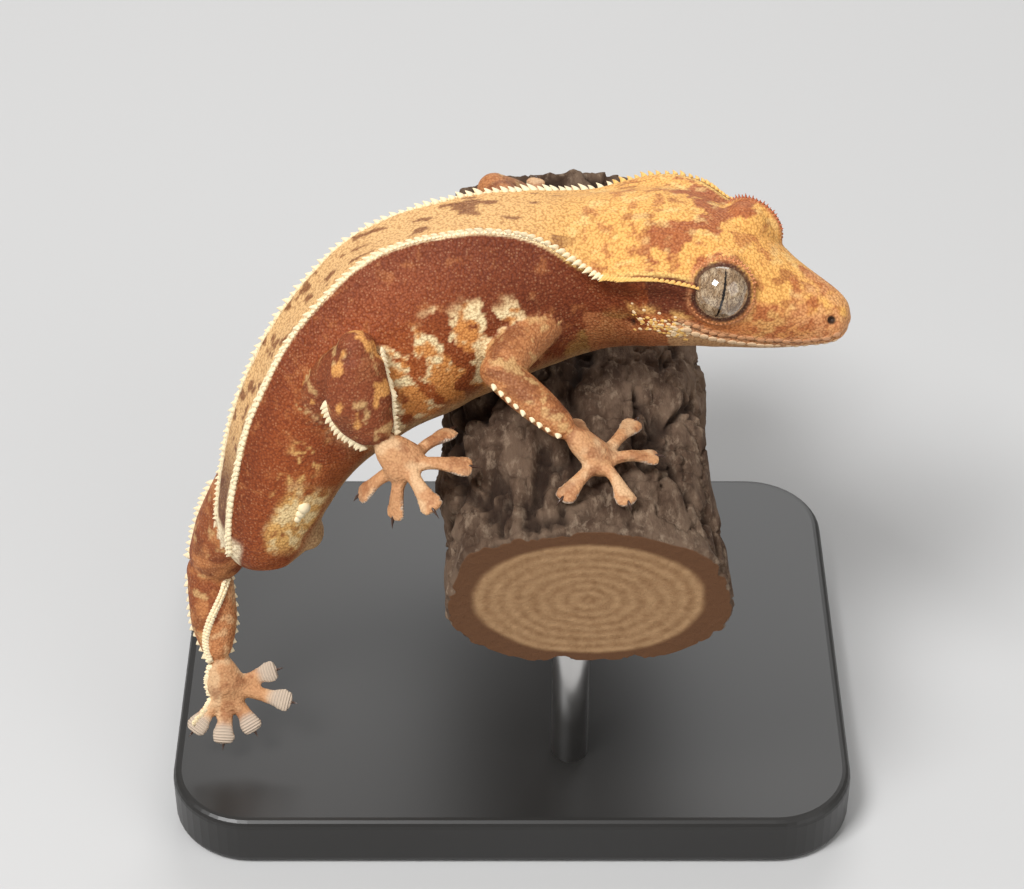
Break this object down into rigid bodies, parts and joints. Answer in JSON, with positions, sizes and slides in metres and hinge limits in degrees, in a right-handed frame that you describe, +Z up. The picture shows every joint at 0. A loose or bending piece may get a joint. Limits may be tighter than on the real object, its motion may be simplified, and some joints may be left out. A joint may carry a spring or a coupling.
{
  "type": "crested gecko (Correlophus ciliatus), adult without its tail, life-size still model on cork bark",
  "caption": "Life-size crested gecko without its tail, climbing down over a piece of cork bark on a plain stand, fringed with pale spines.",
  "frame": {"origin": "centre of the underside of the stand's base", "axes": "+Z up, +X the way the gecko's head points, +Y away from the camera of the picture, to the gecko's left"},
  "size_m": [0.094, 0.079, 0.0866],
  "materials": {
    "hide": "matt, finely scaled",
    "crown": "matt, finely scaled",
    "eye": "clear gloss over a veined iris",
    "bark": "rough cork bark, matt",
    "stand": "satin black lacquer",
    "rod": "satin"
  },
  "bodies": {
    "root": {"head": "crown", "lower_jaw": "crown", "eye_left": "eye", "eye_right": "eye", "neck": "hide", "torso_front": "hide", "torso_rear": "hide", "rump": "hide", "tail_stub": "hide", "upper_arm_right": "hide", "forearm_right": "hide", "forefoot_right": "hide", "upper_arm_left": "hide", "forearm_left": "hide", "forefoot_left": "hide", "thigh_right": "hide", "shin_right": "hide", "hindfoot_right": "hide", "thigh_left": "hide", "shin_left": "hide", "hindfoot_left": "hide", "stand_rod_front": "rod", "stand_rod_rear": "rod", "perch_bark": "bark", "stand_base": "stand"}
  },
  "joints": []
}
